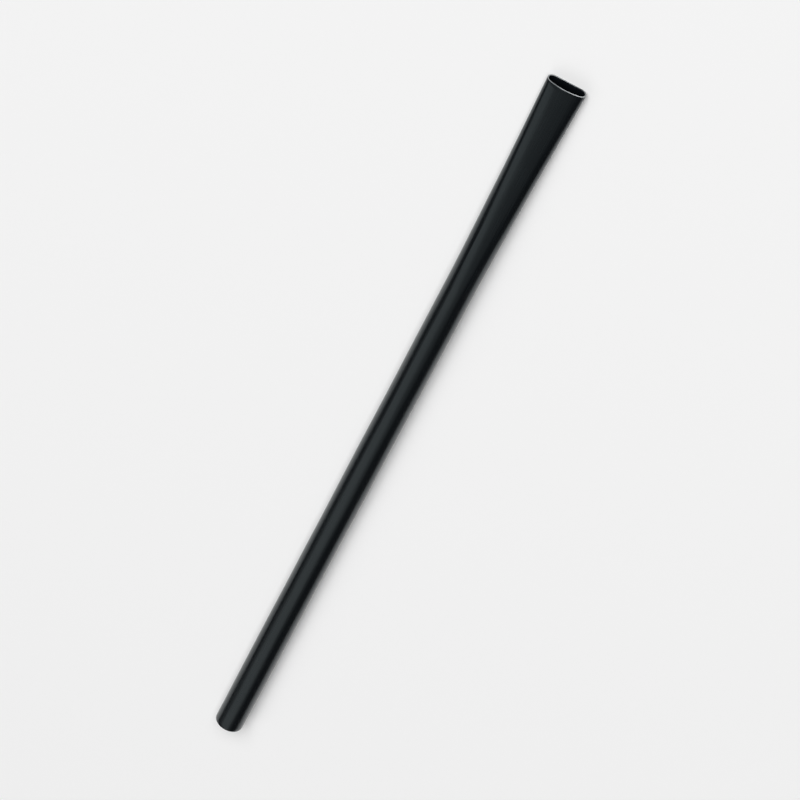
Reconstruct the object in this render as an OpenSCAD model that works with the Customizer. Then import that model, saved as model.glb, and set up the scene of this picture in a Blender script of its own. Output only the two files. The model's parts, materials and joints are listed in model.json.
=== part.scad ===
// Thin-walled black drinking straw, lying on its side at rest.
// The foot end is a round tube. Towards the mouth it is squashed to a flat oval.
// Units are mm. X runs along the straw, from the foot to the mouth, and Z is up.

/* [Tube] */
// Length from the foot to the mouth
straw_l = 145; // [110:1:220]
// Outside diameter of the round stretch
tube_d = 5; // [4:0.1:8]
// Wall thickness
wall = 0.2; // [0.15:0.05:0.3]

/* [Squashed mouth] */
// Length over which the round tube goes flat
squash_l = 40; // [20:1:80]
// Outside radius of the bends at the mouth's two sides
side_r = 1.15; // [0.6:0.05:1.9]
// Angle above level at which a side bend passes into the arched top
crown_angle = 70; // [30:5:75]
// How late the flattening sets in, where 1 is an even taper
lateness = 1.4; // [1:0.1:4]

/* [Smoothness] */
// Points round each section of the squashed stretch
section_points = 64; // [32:8:80]
// Sections along the squashed stretch
sections = 28; // [12:1:32]

/* [Hidden] */
$fn = 96;
tube_r = tube_d / 2;
round_l = straw_l - squash_l;
foot_x = -straw_l / 2;
join_x = foot_x + round_l;
// The first flat-sided section is set in by this much, so its flats stay inside the round tube's end face.
join_step = 0.01;
black = "#16181a";

// A squashed section is a flat that lies on the table, a bend at each side and a gently arched top.
// Where t is 0 at the join and 1 at the mouth, this is the radius of its side bends.
function bend_r(t) = tube_r + (side_r - tube_r) * pow(t, lateness);

// Radius of the arched top. What the bends lose, the top and the flat gain, so the wall keeps its length.
function crown_r(t) =
    (PI * tube_r - bend_r(t) * (arc_l(1, 90 + crown_angle) - cos(crown_angle)))
    / (cos(crown_angle) + arc_l(1, 90 - crown_angle));

// Half of the flat's width, where the two side bends begin.
function flat_half(t) = (crown_r(t) - bend_r(t)) * cos(crown_angle);

// Height of the arched top's centre, which sinks below the table as the top gets flatter.
function crown_z(t) = bend_r(t) - (crown_r(t) - bend_r(t)) * sin(crown_angle);

// Length of an arc, and the angle that a length takes up on one.
function arc_l(radius, angle) = radius * angle * PI / 180;
function arc_angle(radius, length) = length / radius * 180 / PI;

// Point of the wall at a way round the outside from the middle of the flat, moved inwards by a depth.
function half_section(t, way, depth) =
    let (
        bend = bend_r(t),
        crown = crown_r(t),
        flat = flat_half(t),
        bend_end = flat + arc_l(bend, 90 + crown_angle),
        on_bend = arc_angle(bend, way - flat) - 90,
        on_crown = crown_angle + arc_angle(crown, way - bend_end)
    )
    way <= flat
        ? [way, depth]
        : way <= bend_end
            ? [flat + (bend - depth) * cos(on_bend), bend + (bend - depth) * sin(on_bend)]
            : [(crown - depth) * cos(on_crown), crown_z(t) + (crown - depth) * sin(on_crown)];

// The same on both sides of the straw, where share runs from 0 to 1 once round it.
function section_point(t, share, depth) =
    let (
        side = share <= 0.5 ? 1 : -1,
        point = half_section(t, 2 * PI * tube_r * (share <= 0.5 ? share : 1 - share), depth)
    )
    [join_x + squash_l * t, side * point[0], point[1]];

// One ring of points round the straw.
function ring(t, depth) =
    [for (i = [0 : section_points - 1]) section_point(t, i / section_points, depth)];

// Faces between two neighbouring rings, two triangles to each step round the ring.
function band(from, to) =
    let (n = section_points)
    [
        for (i = [0 : n - 1])
            each [
                [from + i, to + i, to + (i + 1) % n],
                [from + i, to + (i + 1) % n, from + (i + 1) % n]
            ]
    ];

module round_tube() {
    translate([foot_x, 0, tube_r])
        rotate([0, 90, 0])
            difference() {
                cylinder(h = round_l, r = tube_r);
                translate([0, 0, -1])
                    cylinder(h = round_l + 2, r = tube_r - wall);
            }
}

module squashed_tube() {
    last = sections - 1;
    outside = [for (s = [0 : last]) ring(s / last, s == 0 ? join_step : 0)];
    inside = [for (s = [0 : last]) ring(s / last, wall - (s == 0 ? join_step : 0))];
    // The rings run along the outside to the mouth and back along the inside.
    rings = concat(outside, [for (s = [last : -1 : 0]) inside[s]]);
    count = len(rings);
    polyhedron(
        points = [for (r = rings) each r],
        faces = [
            for (s = [0 : count - 1])
                each band(s * section_points, ((s + 1) % count) * section_points)
        ],
        convexity = 6
    );
}

module straw() {
    color(black)
        union() {
            round_tube();
            squashed_tube();
        }
}

straw();
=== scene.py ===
"""A black plastic drinking straw, lying where it came to rest on a pale table.

The straw's thin wall follows one rule from foot to mouth: a round tube that is squashed to a
flat oval at the mouth. Lengths are in metres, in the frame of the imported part: X runs from the
foot to the mouth, and Z is up.
"""

import json
import math

import bpy
from bpy.props import (
    FloatProperty,
    FloatVectorProperty,
    IntProperty,
    PointerProperty,
)
from bpy.types import Operator, Panel, PropertyGroup
from mathutils import Matrix, Vector


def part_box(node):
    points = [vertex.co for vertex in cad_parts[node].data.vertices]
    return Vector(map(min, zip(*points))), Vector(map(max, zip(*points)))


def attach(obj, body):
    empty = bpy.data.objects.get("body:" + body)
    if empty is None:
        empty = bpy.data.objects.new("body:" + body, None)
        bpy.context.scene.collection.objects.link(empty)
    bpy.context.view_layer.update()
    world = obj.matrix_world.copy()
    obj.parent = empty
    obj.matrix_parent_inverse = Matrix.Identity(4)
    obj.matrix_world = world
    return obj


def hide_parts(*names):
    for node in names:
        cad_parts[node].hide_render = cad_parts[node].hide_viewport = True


bl_info = {
    "name": "Drinking Straw",
    "version": (1, 0, 0),
    "blender": (4, 5, 0),
    "location": "View3D > Sidebar > Straw",
    "description": "Builds a squashed black drinking straw and the table it lies on",
    "category": "Add Mesh",
}

MM = 0.001

# Wall: rings across a rounded cut end, and the distance at which two points are one.
LIP_RINGS = 9
SEAM_GAP = 1e-7
# Unevenness of the wall: how far round its noise a section reaches, how often the noise changes
# on the way along, and how many finer octaves it has.
RIPPLE_REACH = 0.7
RIPPLES_ALONG = 9.0
RIPPLE_DETAIL = 1.0

# Noise in the plastic's finish: its finer octaves and the middle of its values.
FINISH_DETAIL = 2.0
NOISE_MIDDLE = 0.5
# Noise cells round the straw and along it, for the fine lines and the broad streaks that the die
# draws, and how deep the lines are.
LINE_CELLS = (70.0, 3.0, 1.0)
STREAK_CELLS = (18.0, 1.5, 1.0)
LINE_DEPTH = 0.02 * MM
# Greying of the cut ends, partly the blade's and partly a painted highlight: noise cells round an
# end, the slice of the noise that lightens the mouth's arched near lip most as a painted
# highlight, and the values at which the greying is least and most.
CUT_CELLS = (4.0, 1.0, 1.0)
CUT_HIGHLIGHT_SLICE = (0.0, 0.0, 152.0)
CUT_LEAST, CUT_MOST = 0.38, 0.62
# Noise cells in each metre of the handled skin.
BLOTCH_CELLS = (180.0, 180.0, 180.0)
POLYPROPYLENE_IOR = 1.49

# Table: its matt finish, and from how many lit reaches away it looks evenly pale.
TABLE_ROUGHNESS = 0.7
TABLE_SPECULAR = 0.1
FADE_END = 3.0
# Lamps: the way from the straw to the key lamp, and each lamp's sides as shares of its distance,
# the first one level.
KEY_WAY = Vector((0.57, 0.14, 0.81))
KEY_SIDES = (0.8, 0.8)
PANEL_SIDES = (1.4, 1.3)
STRIP_SIDES = (1.4, 0.45)
# Camera: the width of its sensor in millimetres, and the nearest and farthest that it sees.
SENSOR_WIDTH = 36.0
SEEN_FROM, SEEN_TO = 0.01, 50.0

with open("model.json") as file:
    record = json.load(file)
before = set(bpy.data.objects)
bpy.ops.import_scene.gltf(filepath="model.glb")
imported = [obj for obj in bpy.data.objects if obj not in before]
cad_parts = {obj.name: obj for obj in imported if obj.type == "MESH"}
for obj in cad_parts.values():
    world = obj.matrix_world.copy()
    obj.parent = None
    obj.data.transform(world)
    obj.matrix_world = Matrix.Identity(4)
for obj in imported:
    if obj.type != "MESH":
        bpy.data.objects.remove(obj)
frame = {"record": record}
solid_low, solid_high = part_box("straw")
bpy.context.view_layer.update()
round_bore = next(m for m in frame["record"]["mounts"] if m["name"] == "channel")
round_outside = next(m for m in frame["record"]["mounts"] if m["name"] == "outside")


class StrawShape(PropertyGroup):
    """Sizes of the straw's wall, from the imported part."""

    length: FloatProperty(
        name="Length",
        description="From the foot to the mouth",
        default=solid_high.x - solid_low.x,
        min=0.05,
        max=0.4,
        unit="LENGTH",
    )
    radius: FloatProperty(
        name="Radius",
        description="Outside radius of the round stretch",
        default=round_outside["dims"]["r_mm"] * MM,
        min=0.0015,
        max=0.008,
        unit="LENGTH",
    )
    wall: FloatProperty(
        name="Wall",
        description="Thickness of the plastic",
        default=(round_outside["dims"]["r_mm"] - round_bore["dims"]["r_mm"]) * MM,
        min=0.0001,
        max=0.0006,
        unit="LENGTH",
    )
    squash_length: FloatProperty(
        name="Squash Length",
        description="Length over which the round tube goes flat",
        default=solid_high.x - solid_low.x - round_bore["dims"]["length_mm"] * MM,
        min=0.01,
        max=0.1,
        unit="LENGTH",
    )
    bend_radius: FloatProperty(
        name="Bend Radius",
        description="Outside radius of the two bends at the mouth's sides",
        default=1.15 * MM,
        min=0.0006,
        max=0.003,
        unit="LENGTH",
    )
    crown_angle: FloatProperty(
        name="Crown Angle",
        description="Angle above level at which a side bend passes into the arched top",
        subtype="ANGLE",
        default=math.radians(70.0),
        min=math.radians(30.0),
        max=math.radians(75.0),
    )
    lateness: FloatProperty(
        name="Lateness",
        description="How late the flattening sets in, where 1 is an even taper",
        default=1.4,
        min=1.0,
        max=4.0,
    )
    lip_round: FloatProperty(
        name="Lip Rounding",
        description="How far the cut ends are rounded over",
        default=0.05 * MM,
        min=0.0,
        max=0.0002,
        unit="LENGTH",
    )
    ripple: FloatProperty(
        name="Ripple",
        description="Depth of the wall's slight unevenness",
        default=0.09 * MM,
        min=0.0,
        max=0.0002,
        unit="LENGTH",
    )
    points_round: IntProperty(
        name="Points Round",
        description="Points round each section",
        default=128,
        min=24,
        max=256,
    )
    rings: IntProperty(
        name="Rings",
        description="Sections along each skin",
        default=220,
        min=20,
        max=600,
    )


class StrawLook(PropertyGroup):
    """Colours and finish of the plastic."""

    plastic_color: FloatVectorProperty(
        name="Plastic",
        description="Colour of the black plastic",
        subtype="COLOR",
        size=3,
        default=(0.003, 0.0039, 0.005),
        min=0.0,
        max=1.0,
    )
    gloss_tint: FloatVectorProperty(
        name="Gloss Tint",
        description="Colour of the plastic's gloss",
        subtype="COLOR",
        size=3,
        default=(0.8, 0.96, 1.0),
        min=0.0,
        max=1.0,
    )
    # Light grey of the cut ends: partly the blade's greying, partly a painted highlight on the
    # mouth's near lip.
    cut_and_highlight_color: FloatVectorProperty(
        name="Cut",
        description="Colour of a cut end where the blade has greyed it most",
        subtype="COLOR",
        size=3,
        default=(0.48, 0.5, 0.51),
        min=0.0,
        max=1.0,
    )
    # Dark grey of the cut ends, where the blade's greying and the painted highlight are least.
    dull_cut_color: FloatVectorProperty(
        name="Dull Cut",
        description="Colour of a cut end where the blade has greyed it least",
        subtype="COLOR",
        size=3,
        default=(0.07, 0.073, 0.076),
        min=0.0,
        max=1.0,
    )
    cut_roughness: FloatProperty(
        name="Cut Roughness",
        description="Roughness of the cut ends",
        subtype="FACTOR",
        default=0.5,
        min=0.0,
        max=1.0,
    )
    roughness: FloatProperty(
        name="Roughness",
        description="Roughness of the drawn skin",
        subtype="FACTOR",
        default=0.23,
        min=0.0,
        max=1.0,
    )
    streaks: FloatProperty(
        name="Streaks",
        description="How much the roughness differs from streak to streak",
        subtype="FACTOR",
        default=0.25,
        min=0.0,
        max=1.0,
    )
    blotches: FloatProperty(
        name="Blotches",
        description="How much the roughness differs from place to place through handling",
        subtype="FACTOR",
        default=0.1,
        min=0.0,
        max=1.0,
    )
    draw_lines: FloatProperty(
        name="Draw Lines",
        description="Strength of the fine lines that the die leaves along the tube",
        subtype="FACTOR",
        default=0.7,
        min=0.0,
        max=1.0,
    )


class TableLook(PropertyGroup):
    """The table, the studio light and the camera."""

    table_color: FloatVectorProperty(
        name="Table",
        description="Colour of the plain table",
        subtype="COLOR",
        size=3,
        default=(0.92, 0.92, 0.92),
        min=0.0,
        max=1.0,
    )
    table_reach: FloatProperty(
        name="Table Reach",
        description="From the table's middle to each of its sides",
        default=60.0,
        min=1.0,
        max=200.0,
        unit="LENGTH",
    )
    lit_reach: FloatProperty(
        name="Lit Reach",
        description="How far from the straw the table shows the lamps' own light and shade",
        default=0.3,
        min=0.2,
        max=20.0,
        unit="LENGTH",
    )
    far_table: FloatProperty(
        name="Far Table",
        description="How bright the table looks far from the straw, where 1 is white",
        default=0.86,
        min=0.0,
        max=1.0,
    )
    lamp_distance: FloatProperty(
        name="Lamp Distance",
        description="From the straw to each lamp, whose sides grow with it",
        default=4.0,
        min=0.5,
        max=20.0,
        unit="LENGTH",
    )
    key_light: FloatProperty(
        name="Key Light",
        description="Brightness of the softbox behind the camera, where 1 is white",
        default=5.8,
        min=0.0,
        max=20.0,
    )
    panel_light: FloatProperty(
        name="Overhead Panel",
        description="Brightness of the wide panel that the straw's top mirrors, where 1 is white",
        default=0.2,
        min=0.0,
        max=20.0,
    )
    panel_turn: FloatProperty(
        name="Panel Turn",
        description="Turn from the straw's top to its left at which it mirrors the wide panel",
        subtype="ANGLE",
        default=math.radians(5.0),
        min=math.radians(-40.0),
        max=math.radians(40.0),
    )
    strip_light: FloatProperty(
        name="Overhead Strip",
        description="Brightness of the narrow panel at the left of the wide one, where 1 is white",
        default=0.6,
        min=0.0,
        max=20.0,
    )
    strip_turn: FloatProperty(
        name="Strip Turn",
        description="Turn from the straw's top to its left at which it mirrors the narrow panel",
        subtype="ANGLE",
        default=math.radians(13.0),
        min=math.radians(-40.0),
        max=math.radians(40.0),
    )
    room_light: FloatProperty(
        name="Room",
        description="Brightness of the rest of the room, where 1 is white",
        default=0.05,
        min=0.0,
        max=2.0,
    )
    camera_lift: FloatProperty(
        name="Camera Lift",
        description="Height of the camera over the table, seen from the straw",
        subtype="ANGLE",
        default=math.radians(52.0),
        min=math.radians(5.0),
        max=math.radians(89.0),
    )
    camera_lean: FloatProperty(
        name="Straw Lean",
        description="How far the straw leans to the right in the picture",
        subtype="ANGLE",
        default=math.radians(28.0),
    )
    camera_aim: FloatProperty(
        name="Camera Aim",
        description="How far past the straw's middle towards its mouth the camera looks",
        default=6.5 * MM,
        min=-0.2,
        max=0.2,
        unit="LENGTH",
    )
    camera_distance: FloatProperty(
        name="Camera Distance",
        description="From the camera to the place that it looks at",
        default=0.614,
        min=0.1,
        max=5.0,
        unit="LENGTH",
    )
    picture_share: FloatProperty(
        name="Picture Share",
        description="How much of the picture's side the straw's length takes",
        subtype="FACTOR",
        default=0.9,
        min=0.1,
        max=1.2,
    )


class NodePlan:
    """Adds nodes to a tree and joins them as it goes."""

    def __init__(self, tree):
        self.tree = tree

    def add(self, kind, inputs=(), **settings):
        """A new node, its inputs given by socket name or number and its settings by name."""
        node = self.tree.nodes.new(kind)
        for key, value in settings.items():
            setattr(node, key, value)
        for key, value in dict(inputs).items():
            self.feed(node.inputs[key], value)
        return node

    def feed(self, socket, value):
        """Join an output to an input, or set the input to a plain value."""
        if isinstance(value, bpy.types.NodeSocket):
            self.tree.links.new(value, socket)
        else:
            socket.default_value = value

    def math(self, operation, a, b=0.0, c=0.0):
        """The result of an operation on up to three numbers or sockets."""
        node = self.add("ShaderNodeMath", operation=operation)
        for socket, value in zip(node.inputs, (a, b, c)):
            self.feed(socket, value)
        return node.outputs[0]

    def blend(self, share, a, b):
        """Number a where share is 0, and b where it is 1."""
        node = self.add("ShaderNodeMix", data_type="FLOAT", clamp_factor=False)
        for key, value in zip((0, 2, 3), (share, a, b)):
            self.feed(node.inputs[key], value)
        return node.outputs[0]

    def mix_colors(self, share, a, b):
        """Colour a where share is 0, and b where it is 1. Each is a socket or a plain colour."""
        node = self.add("ShaderNodeMix", data_type="RGBA")
        self.feed(node.inputs[0], share)
        for key, color in zip((6, 7), (a, b)):
            is_socket = isinstance(color, bpy.types.NodeSocket)
            self.feed(node.inputs[key], color if is_socket else (*color, 1.0))
        return node.outputs[2]

    def noise(self, place, cells, shift=(0.0, 0.0, 0.0)):
        """Noise with its own number of cells each way, shifted by some of them."""
        scaled = self.add(
            "ShaderNodeMapping", {"Vector": place, "Scale": cells, "Location": shift}
        ).outputs[0]
        return self.add(
            "ShaderNodeTexNoise", {"Vector": scaled, "Scale": 1.0, "Detail": FINISH_DETAIL}
        ).outputs[0]


def new_group(name, inputs, outputs):
    """An empty Geometry Nodes group with named sockets, each given as (name, kind)."""
    group = bpy.data.node_groups.new(name, "GeometryNodeTree")
    for label, kind in inputs:
        group.interface.new_socket(label, in_out="INPUT", socket_type=kind)
    for label, kind in outputs:
        group.interface.new_socket(label, in_out="OUTPUT", socket_type=kind)
    return group


def wall_point_group():
    """Where a point of the wall lies, from how far along and round it is and how deep in the wall.

    A squashed section is a flat that lies on the table, a bend at each side and a gently arched
    top. What the bends lose in length, the top and the flat gain, so the wall keeps its length
    round the tube. Its slight unevenness has a few lobes round the straw, is slow along it, and
    only ever takes away.
    """
    number = "NodeSocketFloat"
    group = new_group(
        "Straw Wall Point",
        [
            ("Along", number),
            ("Share Round", number),
            ("Depth", number),
            ("Length", number),
            ("Radius", number),
            ("Squash Length", number),
            ("Bend Radius", number),
            ("Crown Angle", number),
            ("Lateness", number),
            ("Ripple", number),
        ],
        [("Position", "NodeSocketVector")],
    )
    plan = NodePlan(group)
    given = plan.add("NodeGroupInput").outputs
    crown_angle, tube_radius = given["Crown Angle"], given["Radius"]

    # How deep the point lies, with the unevenness.
    angle = plan.math("MULTIPLY", given["Share Round"], 2 * math.pi)
    along_share = plan.math("DIVIDE", given["Along"], given["Length"])
    lobes = plan.add(
        "ShaderNodeCombineXYZ",
        {
            "X": plan.math("MULTIPLY", plan.math("COSINE", angle), RIPPLE_REACH),
            "Y": plan.math("MULTIPLY", plan.math("SINE", angle), RIPPLE_REACH),
            "Z": plan.math("MULTIPLY", along_share, RIPPLES_ALONG),
        },
    )
    sunk = plan.add(
        "ShaderNodeTexNoise",
        {"Vector": lobes.outputs[0], "Scale": 1.0, "Detail": RIPPLE_DETAIL},
    ).outputs[0]
    depth = plan.math("MULTIPLY_ADD", sunk, given["Ripple"], given["Depth"])

    # How squashed this section is, from 0 at the join to 1 at the mouth.
    half_length = plan.math("MULTIPLY", given["Length"], 0.5)
    join = plan.math("SUBTRACT", half_length, given["Squash Length"])
    past_join = plan.math("SUBTRACT", given["Along"], join)
    squash = plan.math("DIVIDE", past_join, given["Squash Length"])
    squash = plan.math("MINIMUM", plan.math("MAXIMUM", squash, 0.0), 1.0)
    squash = plan.math("POWER", squash, given["Lateness"])

    # The section's arcs and flat.
    cos_crown = plan.math("COSINE", crown_angle)
    sin_crown = plan.math("SINE", crown_angle)
    bend_turn = plan.math("ADD", crown_angle, math.pi / 2)
    crown_turn = plan.math("SUBTRACT", math.pi / 2, crown_angle)
    bend = plan.blend(squash, tube_radius, given["Bend Radius"])
    half_way_round = plan.math("MULTIPLY", tube_radius, math.pi)
    taken = plan.math("MULTIPLY", bend, plan.math("SUBTRACT", bend_turn, cos_crown))
    crown = plan.math(
        "DIVIDE",
        plan.math("SUBTRACT", half_way_round, taken),
        plan.math("ADD", cos_crown, crown_turn),
    )
    excess = plan.math("SUBTRACT", crown, bend)
    flat = plan.math("MULTIPLY", excess, cos_crown)
    crown_height = plan.math("SUBTRACT", bend, plan.math("MULTIPLY", excess, sin_crown))
    bend_end = plan.math("MULTIPLY_ADD", bend, bend_turn, flat)

    # The way round from the middle of the flat, the same on both sides.
    other_way = plan.math("SUBTRACT", 1.0, given["Share Round"])
    share = plan.math("MINIMUM", given["Share Round"], other_way)
    way = plan.math("MULTIPLY", plan.math("MULTIPLY", share, 2.0), half_way_round)
    past_top = plan.math("GREATER_THAN", given["Share Round"], 0.5)
    side = plan.math("MULTIPLY_ADD", past_top, -2.0, 1.0)
    on_bend = plan.math("DIVIDE", plan.math("SUBTRACT", way, flat), bend)
    on_bend = plan.math("SUBTRACT", on_bend, math.pi / 2)
    on_crown = plan.math("DIVIDE", plan.math("SUBTRACT", way, bend_end), crown)
    on_crown = plan.math("ADD", on_crown, crown_angle)
    bend_reach = plan.math("SUBTRACT", bend, depth)
    crown_reach = plan.math("SUBTRACT", crown, depth)
    past_flat = plan.math("GREATER_THAN", way, flat)
    past_bend = plan.math("GREATER_THAN", way, bend_end)

    # The point on a bend, on the top or on the flat, whichever its way round has come to.
    y_bend = plan.math("MULTIPLY_ADD", bend_reach, plan.math("COSINE", on_bend), flat)
    z_bend = plan.math("MULTIPLY_ADD", bend_reach, plan.math("SINE", on_bend), bend)
    y_crown = plan.math("MULTIPLY", crown_reach, plan.math("COSINE", on_crown))
    z_crown = plan.math("MULTIPLY_ADD", crown_reach, plan.math("SINE", on_crown), crown_height)
    y = plan.blend(past_bend, plan.blend(past_flat, way, y_bend), y_crown)
    z = plan.blend(past_bend, plan.blend(past_flat, depth, z_bend), z_crown)
    point = plan.add(
        "ShaderNodeCombineXYZ",
        {"X": given["Along"], "Y": plan.math("MULTIPLY", y, side), "Z": z},
    )
    plan.add("NodeGroupOutput", {"Position": point.outputs[0]})
    return group


def straw_group(plastic):
    """The whole wall: outer skin, mouth lip, inner skin and foot lip, each a sheet rolled up."""
    number, count = "NodeSocketFloat", "NodeSocketInt"
    group = new_group(
        "Squashed Straw",
        [
            ("Length", number),
            ("Radius", number),
            ("Wall", number),
            ("Squash Length", number),
            ("Bend Radius", number),
            ("Crown Angle", number),
            ("Lateness", number),
            ("Lip Rounding", number),
            ("Ripple", number),
            ("Points Round", count),
            ("Rings", count),
        ],
        [("Geometry", "NodeSocketGeometry")],
    )
    plan = NodePlan(group)
    given = plan.add("NodeGroupInput").outputs
    place = wall_point_group()
    half_length = plan.math("MULTIPLY", given["Length"], 0.5)
    last_ring = plan.math("SUBTRACT", half_length, given["Lip Rounding"])
    half_wall = plan.math("MULTIPLY", given["Wall"], 0.5)
    columns = plan.math("ADD", given["Points Round"], 1.0)

    # Each sheet starts as a flat square of side 1 about the origin. Its run goes from 0 to 1
    # along the straw or across a lip, and its turn from 0 to 1 round the straw.
    spot = plan.add("GeometryNodeInputPosition").outputs[0]
    sheet = plan.add("ShaderNodeSeparateXYZ", {"Vector": spot}).outputs
    run = plan.math("ADD", sheet["X"], 0.5)
    turn = plan.math("ADD", sheet["Y"], 0.5)

    # A lip goes over from the outside to the inside in half a turn.
    half_turn = plan.math("MULTIPLY", run, math.pi)
    bulge = plan.math(
        "MULTIPLY_ADD", plan.math("SINE", half_turn), given["Lip Rounding"], last_ring
    )
    into_wall = plan.math(
        "MULTIPLY", plan.math("SUBTRACT", 1.0, plan.math("COSINE", half_turn)), half_wall
    )
    skin_along = plan.blend(run, plan.math("MULTIPLY", last_ring, -1.0), last_ring)
    # Each sheet: the way it runs, its depth in the wall, its rings, 1 if it is a lip, and whether
    # it is turned over.
    sheets = [
        (skin_along, 0.0, given["Rings"], 0.0, True),
        (bulge, into_wall, LIP_RINGS, 1.0, True),
        (skin_along, given["Wall"], given["Rings"], 0.0, False),
        (plan.math("MULTIPLY", bulge, -1.0), into_wall, LIP_RINGS, 1.0, False),
    ]
    joined = plan.add("GeometryNodeJoinGeometry")
    for along, depth, rings, lip, turned in sheets:
        grid = plan.add(
            "GeometryNodeMeshGrid",
            {"Size X": 1.0, "Size Y": 1.0, "Vertices X": rings, "Vertices Y": columns},
        )
        marked = plan.add(
            "GeometryNodeStoreNamedAttribute",
            {"Geometry": grid.outputs["Mesh"], "Name": "lip", "Value": lip},
            data_type="FLOAT",
            domain="FACE",
        )
        chart = plan.add(
            "ShaderNodeCombineXYZ",
            {"X": turn, "Y": plan.math("ADD", plan.math("DIVIDE", along, given["Length"]), 0.5)},
        )
        mapped = plan.add(
            "GeometryNodeStoreNamedAttribute",
            {"Geometry": marked.outputs[0], "Name": "UVMap", "Value": chart.outputs[0]},
            data_type="FLOAT2",
            domain="CORNER",
        )
        wall_point = plan.add("GeometryNodeGroup", node_tree=place)
        for socket in wall_point.inputs:
            if socket.name in given:
                plan.feed(socket, given[socket.name])
        plan.feed(wall_point.inputs["Along"], along)
        plan.feed(wall_point.inputs["Share Round"], turn)
        plan.feed(wall_point.inputs["Depth"], depth)
        rolled = plan.add(
            "GeometryNodeSetPosition",
            {"Geometry": mapped.outputs[0], "Position": wall_point.outputs[0]},
        ).outputs[0]
        if turned:
            rolled = plan.add("GeometryNodeFlipFaces", {"Mesh": rolled}).outputs[0]
        group.links.new(rolled, joined.inputs[0])
    sealed = plan.add(
        "GeometryNodeMergeByDistance", {"Geometry": joined.outputs[0], "Distance": SEAM_GAP}
    )
    smooth = plan.add("GeometryNodeSetShadeSmooth", {"Geometry": sealed.outputs[0]})
    real = plan.add("GeometryNodeRealizeInstances", {"Geometry": smooth.outputs[0]})
    finished = plan.add(
        "GeometryNodeSetMaterial", {"Geometry": real.outputs[0], "Material": plastic}
    )
    plan.add("NodeGroupOutput", {"Geometry": finished.outputs[0]})
    return group


def black_plastic(look):
    """Drawn black plastic: glossy, with faint lines along the tube, and cut ends greyed in patches
    that also carry a painted highlight.
    """
    material = bpy.data.materials.new("black_straw_plastic")
    material.use_nodes = True
    plan = NodePlan(material.node_tree)
    shader = material.node_tree.nodes["Principled BSDF"]
    shader.inputs["IOR"].default_value = POLYPROPYLENE_IOR
    shader.inputs["Specular Tint"].default_value = (*look.gloss_tint, 1.0)
    chart = plan.add("ShaderNodeUVMap", uv_map="UVMap").outputs[0]
    place = plan.add("ShaderNodeTexCoord").outputs["Object"]
    lip = plan.add("ShaderNodeAttribute", attribute_name="lip").outputs["Fac"]

    # The cut ends are greyed in patches, partly by the blade and partly as a painted highlight
    # that is lightest on the mouth's arched near lip.
    greying_and_highlight = plan.add(
        "ShaderNodeMapRange",
        {
            "Value": plan.noise(chart, CUT_CELLS, CUT_HIGHLIGHT_SLICE),
            "From Min": CUT_LEAST,
            "From Max": CUT_MOST,
        },
    )
    cut = plan.mix_colors(greying_and_highlight.outputs[0], look.dull_cut_color, look.cut_and_highlight_color)
    plan.feed(shader.inputs["Base Color"], plan.mix_colors(lip, look.plastic_color, cut))

    # The die leaves broad streaks of gloss along the tube, and handling leaves slow blotches.
    streaks = plan.math("SUBTRACT", plan.noise(chart, STREAK_CELLS), NOISE_MIDDLE)
    blotches = plan.math("SUBTRACT", plan.noise(place, BLOTCH_CELLS), NOISE_MIDDLE)
    skin_rough = plan.math("MULTIPLY_ADD", streaks, look.streaks, look.roughness)
    skin_rough = plan.math("MULTIPLY_ADD", blotches, look.blotches, skin_rough)
    plan.feed(shader.inputs["Roughness"], plan.blend(lip, skin_rough, look.cut_roughness))

    # The die leaves fine lines too.
    bump = plan.add(
        "ShaderNodeBump",
        {
            "Height": plan.noise(chart, LINE_CELLS),
            "Strength": look.draw_lines,
            "Distance": LINE_DEPTH,
        },
    )
    plan.feed(shader.inputs["Normal"], bump.outputs[0])
    return material


def mesh_from_group(context, group, sizes):
    """The plain mesh that a Geometry Nodes group makes from sizes under its sockets' names."""
    draft = bpy.data.objects.new("straw_draft", bpy.data.meshes.new("straw_draft"))
    context.collection.objects.link(draft)
    modifier = draft.modifiers.new(group.name, "NODES")
    modifier.node_group = group
    for socket in group.interface.items_tree:
        if socket.in_out == "INPUT":
            modifier[socket.identifier] = sizes[socket.name]
    made = draft.evaluated_get(context.evaluated_depsgraph_get())
    mesh = bpy.data.meshes.new_from_object(made)
    draft.modifiers.remove(modifier)
    bpy.data.objects.remove(draft)
    if not mesh.polygons:
        raise RuntimeError(f"the nodes of {group.name} made no faces")
    return mesh


class STRAW_OT_add_straw(Operator):
    """Build the straw's thin wall from foot to mouth"""

    bl_idname = "straw.add_straw"
    bl_label = "Add Straw"
    bl_options = {"REGISTER", "UNDO"}

    def execute(self, context):
        shape = context.scene.straw_shape
        group = straw_group(black_plastic(context.scene.straw_look))
        sizes = {
            "Length": shape.length,
            "Radius": shape.radius,
            "Wall": shape.wall,
            "Squash Length": shape.squash_length,
            "Bend Radius": shape.bend_radius,
            "Crown Angle": shape.crown_angle,
            "Lateness": shape.lateness,
            "Lip Rounding": shape.lip_round,
            "Ripple": shape.ripple,
            "Points Round": shape.points_round,
            "Rings": shape.rings,
        }
        straw = bpy.data.objects.new("straw_tube", mesh_from_group(context, group, sizes))
        context.collection.objects.link(straw)
        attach(straw, "root")
        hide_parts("straw")
        return {"FINISHED"}


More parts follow.
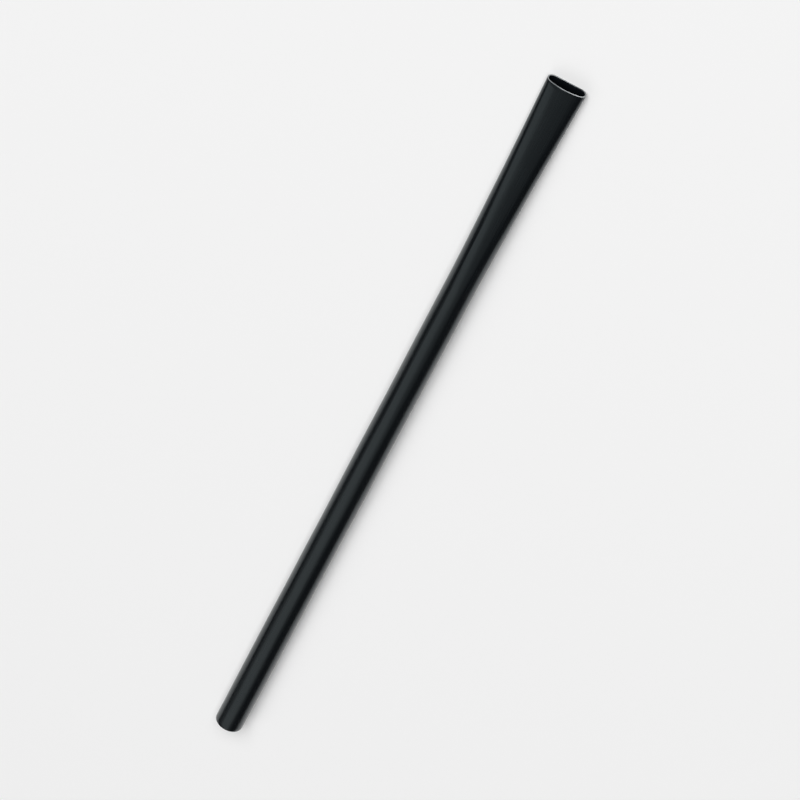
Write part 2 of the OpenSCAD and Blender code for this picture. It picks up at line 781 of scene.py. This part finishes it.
def pale_table(look):
    """A plain, pale and matt table, which looks evenly pale where little light falls far out."""
    material = bpy.data.materials.new("pale_table")
    material.use_nodes = True
    plan = NodePlan(material.node_tree)
    shader = material.node_tree.nodes["Principled BSDF"]
    shader.inputs["Base Color"].default_value = (*look.table_color, 1.0)
    shader.inputs["Roughness"].default_value = TABLE_ROUGHNESS
    shader.inputs["Specular IOR Level"].default_value = TABLE_SPECULAR
    place = plan.add("ShaderNodeTexCoord").outputs["Object"]
    away = plan.add("ShaderNodeVectorMath", {0: place}, operation="LENGTH").outputs["Value"]
    far = plan.add(
        "ShaderNodeMapRange",
        {
            "Value": away,
            "From Min": look.lit_reach,
            "From Max": FADE_END * look.lit_reach,
        },
        interpolation_type="SMOOTHSTEP",
    ).outputs[0]
    ray = plan.add("ShaderNodeLightPath").outputs
    seen = plan.math("MAXIMUM", ray["Is Camera Ray"], ray["Is Glossy Ray"])
    seen = plan.math("MAXIMUM", seen, ray["Is Transmission Ray"])
    even = plan.add("ShaderNodeEmission", {"Strength": look.far_table})
    mixed = plan.add("ShaderNodeMixShader", {0: plan.math("MULTIPLY", far, seen)})
    plan.feed(mixed.inputs[1], shader.outputs[0])
    plan.feed(mixed.inputs[2], even.outputs[0])
    out = material.node_tree.nodes["Material Output"]
    plan.feed(out.inputs["Surface"], mixed.outputs[0])
    return material


def add_lamp(context, name, sides, way, distance, brightness):
    """A soft rectangular lamp that faces the straw, with its sides as shares of its distance."""
    lamp = bpy.data.lights.new(name, "AREA")
    lamp.shape = "RECTANGLE"
    lamp.size, lamp.size_y = sides[0] * distance, sides[1] * distance
    lamp.energy = brightness * math.pi * lamp.size * lamp.size_y
    holder = bpy.data.objects.new(name, lamp)
    holder.location = way.normalized() * distance
    holder.rotation_euler = way.to_track_quat("Z", "Y").to_euler()
    holder.visible_camera = False
    context.collection.objects.link(holder)


def mirrored_way(camera_lift, turn):
    """The way from the straw that the camera sees mirrored at a turn from its top to its left.

    What the straw mirrors turns twice as far as its skin does.
    """
    reach, mirrored = math.sin(camera_lift), 2.0 * turn
    return Vector(
        (-math.cos(camera_lift), reach * math.sin(mirrored), reach * math.cos(mirrored))
    )


def add_room(context, look):
    """An even, plain room."""
    world = bpy.data.worlds.new("room")
    context.scene.world = world
    world.use_nodes = True
    room = world.node_tree.nodes["Background"].inputs
    room["Color"].default_value = (1.0, 1.0, 1.0, 1.0)
    room["Strength"].default_value = look.room_light


def add_camera(context, look):
    """A camera on the mouth's side that looks down and is rolled, so the straw leans right."""
    shape = context.scene.straw_shape
    back = Vector((math.cos(look.camera_lift), 0.0, math.sin(look.camera_lift)))
    along = Vector((math.sin(look.camera_lift), 0.0, -math.cos(look.camera_lift)))
    right = along.cross(back)
    turn, lean = math.cos(look.camera_lean), math.sin(look.camera_lean)
    up_side = along * turn - right * lean
    right_side = right * turn + along * lean
    aim = Vector((look.camera_aim, 0.0, shape.radius))
    place = aim + back * look.camera_distance
    camera = bpy.data.cameras.new("table_camera")
    camera.sensor_width = SENSOR_WIDTH
    shown_length = shape.length * math.sin(look.camera_lift) / look.camera_distance
    camera.lens = look.picture_share * camera.sensor_width / shown_length
    camera.clip_start, camera.clip_end = SEEN_FROM, SEEN_TO
    holder = bpy.data.objects.new("table_camera", camera)
    turned = Matrix((right_side, up_side, back)).transposed()
    holder.matrix_world = Matrix.Translation(place) @ turned.to_4x4()
    context.collection.objects.link(holder)
    context.scene.camera = holder


class STRAW_OT_add_table(Operator):
    """Add the pale table, the studio light and the camera"""

    bl_idname = "straw.add_table"
    bl_label = "Add Table, Light and Camera"
    bl_options = {"REGISTER", "UNDO"}

    def execute(self, context):
        look = context.scene.table_look
        mesh = bpy.data.meshes.new("table_top")
        reach = look.table_reach
        mesh.from_pydata(
            [(-reach, -reach, 0), (reach, -reach, 0), (reach, reach, 0), (-reach, reach, 0)],
            [],
            [(0, 1, 2, 3)],
        )
        mesh.materials.append(pale_table(look))
        table = bpy.data.objects.new("table_top", mesh)
        context.collection.objects.link(table)
        panel_way = mirrored_way(look.camera_lift, look.panel_turn)
        strip_way = mirrored_way(look.camera_lift, look.strip_turn)
        # Name, sides, way from the straw and brightness of each lamp.
        lamps = (
            ("key_softbox", KEY_SIDES, KEY_WAY, look.key_light),
            ("overhead_panel", PANEL_SIDES, panel_way, look.panel_light),
            ("overhead_strip", STRIP_SIDES, strip_way, look.strip_light),
        )
        for name, sides, way, brightness in lamps:
            add_lamp(context, name, sides, way, look.lamp_distance, brightness)
        add_room(context, look)
        add_camera(context, look)
        return {"FINISHED"}


class STRAW_PT_panel(Panel):
    """Straw sizes, finish and studio"""

    bl_label = "Drinking Straw"
    bl_space_type = "VIEW_3D"
    bl_region_type = "UI"
    bl_category = "Straw"

    def draw(self, context):
        for heading, group, operator in (
            ("Shape", context.scene.straw_shape, None),
            ("Finish", context.scene.straw_look, STRAW_OT_add_straw.bl_idname),
            ("Studio", context.scene.table_look, STRAW_OT_add_table.bl_idname),
        ):
            column = self.layout.column()
            column.label(text=heading)
            for name in group.__annotations__:
                column.prop(group, name)
            if operator:
                column.operator(operator)


CLASSES = (
    StrawShape,
    StrawLook,
    TableLook,
    STRAW_OT_add_straw,
    STRAW_OT_add_table,
    STRAW_PT_panel,
)


def register():
    for cls in CLASSES:
        bpy.utils.register_class(cls)
    bpy.types.Scene.straw_shape = PointerProperty(type=StrawShape)
    bpy.types.Scene.straw_look = PointerProperty(type=StrawLook)
    bpy.types.Scene.table_look = PointerProperty(type=TableLook)


def unregister():
    del bpy.types.Scene.table_look
    del bpy.types.Scene.straw_look
    del bpy.types.Scene.straw_shape
    for cls in reversed(CLASSES):
        bpy.utils.unregister_class(cls)


def main():
    """Build the scene."""
    register()
    scene = bpy.context.scene
    scene.view_settings.view_transform = "Standard"
    bpy.ops.straw.add_straw()
    bpy.ops.straw.add_table()


if __name__ == "__main__":
    main()
